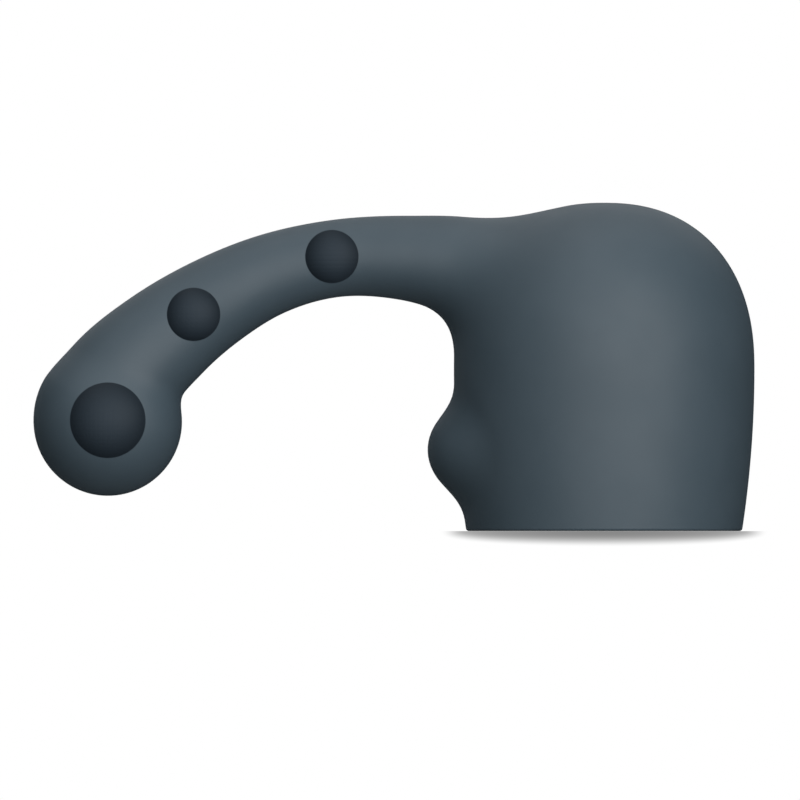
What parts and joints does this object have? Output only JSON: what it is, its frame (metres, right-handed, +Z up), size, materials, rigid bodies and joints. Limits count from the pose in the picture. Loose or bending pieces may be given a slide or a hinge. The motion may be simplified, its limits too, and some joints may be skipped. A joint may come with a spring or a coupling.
{
  "type": "weighted slip-on wand massager head",
  "caption": "Soft hollow cup that stretches over a wand massager's head, with a nub and a curved, springy arm that ends in a ball-weighted bulb.",
  "frame": {"origin": "centre of the cup's mouth, on the plane that the cup stands on", "axes": "+Z up the cup's axis towards the top of its dome, -X along the arm, +Y across the plane that mirrors the part"},
  "size_m": [0.1621, 0.0676, 0.0738],
  "materials": {
    "silicone": "matte, soft satin sheen, dark blue-grey",
    "steel_weight": "dark satin"
  },
  "bodies": {
    "cap": {"silicone_cap": "silicone"},
    "arm": {"silicone_arm": "silicone", "upper_weight": "steel_weight", "middle_weight": "steel_weight", "tip_weight": "steel_weight"}
  },
  "joints": [
    {"name": "arm_flex", "type": "hinge", "parent": "cap", "child": "arm", "pos_m": [-0.048, 0, 0.06168], "axis": [0, 1, 0], "range_deg": [-25, 25], "stiffness_Nm_per_rad": 0.5}
  ]
}
